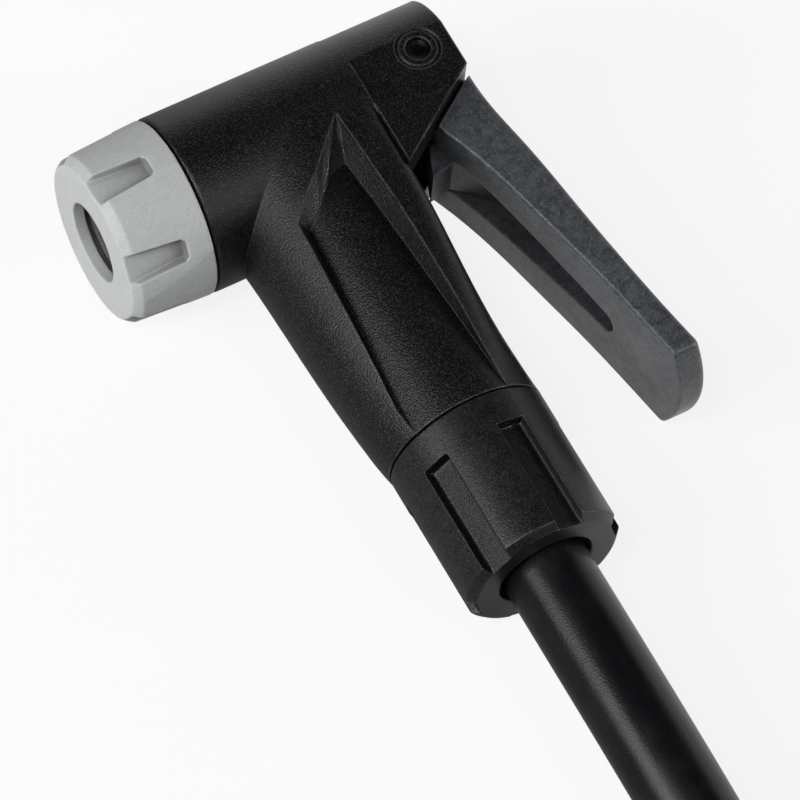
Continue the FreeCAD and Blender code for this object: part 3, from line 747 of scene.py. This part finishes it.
def plastic(name, colour, speck_colour, edge_colour, roughness, smudge_roughness,
            grain_scale, grain_depth, edge_radius=0.35, edge_amount=0.6, specular=0.5,
            hollow_amount=0.5, cloud_amount=0.3):
    """A moulded plastic with grain, specks, smudges, rubbed edges with a painted highlight, and
    painted shade in its hollows.
    """
    material, tree = new_material(name)
    shader = tree.nodes.new("ShaderNodeBsdfPrincipled")
    out = tree.nodes.new("ShaderNodeOutputMaterial")
    tree.links.new(shader.outputs[0], out.inputs["Surface"])
    grain = use_group(tree, grain_group, Scale=grain_scale)
    smudge = use_group(tree, smudge_group)
    # Lighter edges: partly wear, partly a painted highlight on convex edges.
    edge_rub_and_highlight = use_group(tree, rub_and_highlight_group, Radius=edge_radius * MM)
    worn_and_highlit = math_node(tree, "MULTIPLY", edge_rub_and_highlight.outputs["Mask"], edge_amount)
    tone = blend_colours(tree, grain.outputs["Pits"], colour, speck_colour)
    cloud = use_group(tree, smudge_group, Scale=CLOUD_SCALE)
    haze = math_node(tree, "MULTIPLY", cloud.outputs["Mask"], cloud_amount)
    tone = blend_colours(tree, haze, tone, speck_colour)
    tone = blend_colours(tree, worn_and_highlit, tone, edge_colour)
    # Darker hollows: painted shade, where the surface is occluded.
    hollow = use_group(tree, hollow_shade_group)
    hollow_painted_shade = math_node(tree, "MULTIPLY", hollow.outputs["Mask"], hollow_amount)
    tone = blend_colours(tree, hollow_painted_shade, tone, tuple(HOLLOW_SHADE * c for c in colour))
    tree.links.new(tone, shader.inputs["Base Color"])
    rough = map_range(tree, smudge.outputs["Mask"], 0, 1, roughness, smudge_roughness)
    tree.links.new(rough, shader.inputs["Roughness"])
    shader.inputs["Specular IOR Level"].default_value = specular
    round_edge = tree.nodes.new("ShaderNodeBevel")
    round_edge.samples = AO_SAMPLES
    round_edge.inputs["Radius"].default_value = edge_radius * MM
    bump = tree.nodes.new("ShaderNodeBump")
    bump.inputs["Strength"].default_value = 1.0
    bump.inputs["Distance"].default_value = grain_depth * MM
    tree.links.new(grain.outputs["Height"], bump.inputs["Height"])
    tree.links.new(round_edge.outputs["Normal"], bump.inputs["Normal"])
    tree.links.new(bump.outputs["Normal"], shader.inputs["Normal"])
    print(name, "nodes:", len(tree.nodes))
    return material


# %% Plastics
# Each plastic's edge colour is partly wear and partly a painted highlight, and its hollow amount
# sets its painted shade.
body_plastic = plastic(
    "black body plastic", (0.0015, 0.0015, 0.0018), (0.031, 0.031, 0.032), (0.12, 0.12, 0.125),
    roughness=0.31, smudge_roughness=0.36, grain_scale=5500, grain_depth=0.024, specular=0.45,
    cloud_amount=0.03, edge_radius=0.3, edge_amount=0.4,
)
cap_plastic = plastic(
    "grey cap plastic", (0.4, 0.41, 0.415), (0.53, 0.54, 0.545), (0.63, 0.64, 0.65),
    roughness=0.5, smudge_roughness=0.58, grain_scale=7000, grain_depth=0.012,
    edge_radius=0.2, edge_amount=0.8, hollow_amount=0.9,
)
lever_plastic = plastic(
    "dark grey lever plastic", (0.027, 0.03, 0.035), (0.113, 0.119, 0.128), (0.18, 0.185, 0.195),
    roughness=0.34, smudge_roughness=0.46, grain_scale=5000, grain_depth=0.014,
    cloud_amount=0.48, hollow_amount=0.3,
)
nut_plastic = plastic(
    "black nut plastic", (0.002, 0.002, 0.003), (0.031, 0.031, 0.032), (0.1, 0.1, 0.105),
    roughness=0.33, smudge_roughness=0.42, grain_scale=5500, grain_depth=0.012, specular=0.48,
    cloud_amount=0.25, edge_radius=0.12, edge_amount=0.25, hollow_amount=0.8,
)
inner_plastic = plastic(
    "pale inner plastic", (0.6, 0.59, 0.55), (0.66, 0.65, 0.61), (0.75, 0.74, 0.7),
    roughness=0.3, smudge_roughness=0.4, grain_scale=2600, grain_depth=0.004,
)

# %% [markdown]
# ## Rubber
#
# The hose is extruded, so its marks run along it: long faint streaks of a slightly
# different gloss. The curve's own UV map runs along the hose, which keeps the
# streaks in line with it through every bend. The seals are plain moulded rubber.

# %% Hose rubber
hose_rubber, tree = new_material("hose rubber")
shader = tree.nodes.new("ShaderNodeBsdfPrincipled")
out = tree.nodes.new("ShaderNodeOutputMaterial")
tree.links.new(shader.outputs[0], out.inputs["Surface"])
uv = tree.nodes.new("ShaderNodeTexCoord").outputs["UV"]
stretch = tree.nodes.new("ShaderNodeMapping")
stretch.inputs["Scale"].default_value = (60.0, 14.0, 1.0)
tree.links.new(uv, stretch.inputs["Vector"])
streaks = noise(tree, stretch.outputs[0], 1.0, detail=4.0, roughness=0.6)
smudge = use_group(tree, smudge_group, Scale=220.0)
mottle = math_node(tree, "MULTIPLY", streaks, smudge.outputs["Mask"])
tone = blend_colours(tree, mottle, (0.003, 0.003, 0.004), (0.012, 0.012, 0.014))
tree.links.new(tone, shader.inputs["Base Color"])
rough = map_range(tree, streaks, 0.3, 0.7, 0.24, 0.36)
tree.links.new(rough, shader.inputs["Roughness"])
shader.inputs["Specular IOR Level"].default_value = 0.38
grain = use_group(tree, grain_group, Scale=5000)
bump = tree.nodes.new("ShaderNodeBump")
bump.inputs["Distance"].default_value = 0.008 * MM
tree.links.new(grain.outputs["Height"], bump.inputs["Height"])
tree.links.new(bump.outputs["Normal"], shader.inputs["Normal"])
print("hose rubber nodes:", len(tree.nodes))

# %% Seal rubber
seal_rubber = plastic(
    "seal rubber", (0.06, 0.06, 0.06), (0.08, 0.08, 0.08), (0.1, 0.1, 0.1),
    roughness=0.6, smudge_roughness=0.7, grain_scale=2000, grain_depth=0.01,
)

# %% [markdown]
# ## Metals
#
# The pin's ends are dark turned steel, the far end's nut and ferrule are nickel
# plated, and the stems are brass. Turned metal has rings round its axis, so its
# roughness follows a noise squeezed along the axis.

# %% Metal recipe


def metal(name, colour, roughness, ring_stretch, bump_depth=0.004):
    """A turned metal whose fine rings run round one axis."""
    material, tree = new_material(name)
    shader = tree.nodes.new("ShaderNodeBsdfPrincipled")
    out = tree.nodes.new("ShaderNodeOutputMaterial")
    tree.links.new(shader.outputs[0], out.inputs["Surface"])
    shader.inputs["Metallic"].default_value = 1.0
    place = tree.nodes.new("ShaderNodeTexCoord").outputs["Object"]
    squeeze = tree.nodes.new("ShaderNodeMapping")
    squeeze.inputs["Scale"].default_value = ring_stretch
    tree.links.new(place, squeeze.inputs["Vector"])
    rings = noise(tree, squeeze.outputs[0], 1.0, detail=3.0, roughness=0.7)
    smudge = use_group(tree, smudge_group, Scale=300.0)
    tone = blend_colours(tree, smudge.outputs["Mask"], colour, tuple(0.8 * c for c in colour))
    tree.links.new(tone, shader.inputs["Base Color"])
    rough = map_range(tree, rings, 0.3, 0.7, roughness - 0.06, roughness + 0.1)
    tree.links.new(rough, shader.inputs["Roughness"])
    bump = tree.nodes.new("ShaderNodeBump")
    bump.inputs["Distance"].default_value = bump_depth * MM
    tree.links.new(rings, bump.inputs["Height"])
    tree.links.new(bump.outputs["Normal"], shader.inputs["Normal"])
    print(name, "nodes:", len(tree.nodes))
    return material


# %% Metals
dark_steel = metal("dark steel", (0.05, 0.05, 0.053), 0.26, (300, 300, 4000))
brass = metal("brass", (0.72, 0.55, 0.27), 0.25, (300, 5000, 300))
nickel = metal("nickel plate", (0.66, 0.65, 0.63), 0.22, (300, 5000, 300))

# %% [markdown]
# ## Give each solid its finish
#
# The solids keep their shapes. Each takes the finish that its slot in the parts
# list names.

# %% Assign finishes
FINISHES = {
    "body_plastic": body_plastic,
    "cap_plastic": cap_plastic,
    "lever_plastic": lever_plastic,
    "nut_plastic": nut_plastic,
    "hose_rubber": hose_rubber,
    "seal_rubber": seal_rubber,
    "inner_plastic": inner_plastic,
    "steel": dark_steel,
    "brass": brass,
    "plated": nickel,
}
for entry in frame["record"]["subparts"]:
    node = frame["nodes"][entry["node"]]
    node.data.materials.clear()
    node.data.materials.append(FINISHES[entry["material_slot"]])
for piece, slot in made_pieces.items():
    piece.data.materials.append(FINISHES[slot])
hose.data.materials.append(hose_rubber)
print("finishes:", len(FINISHES))
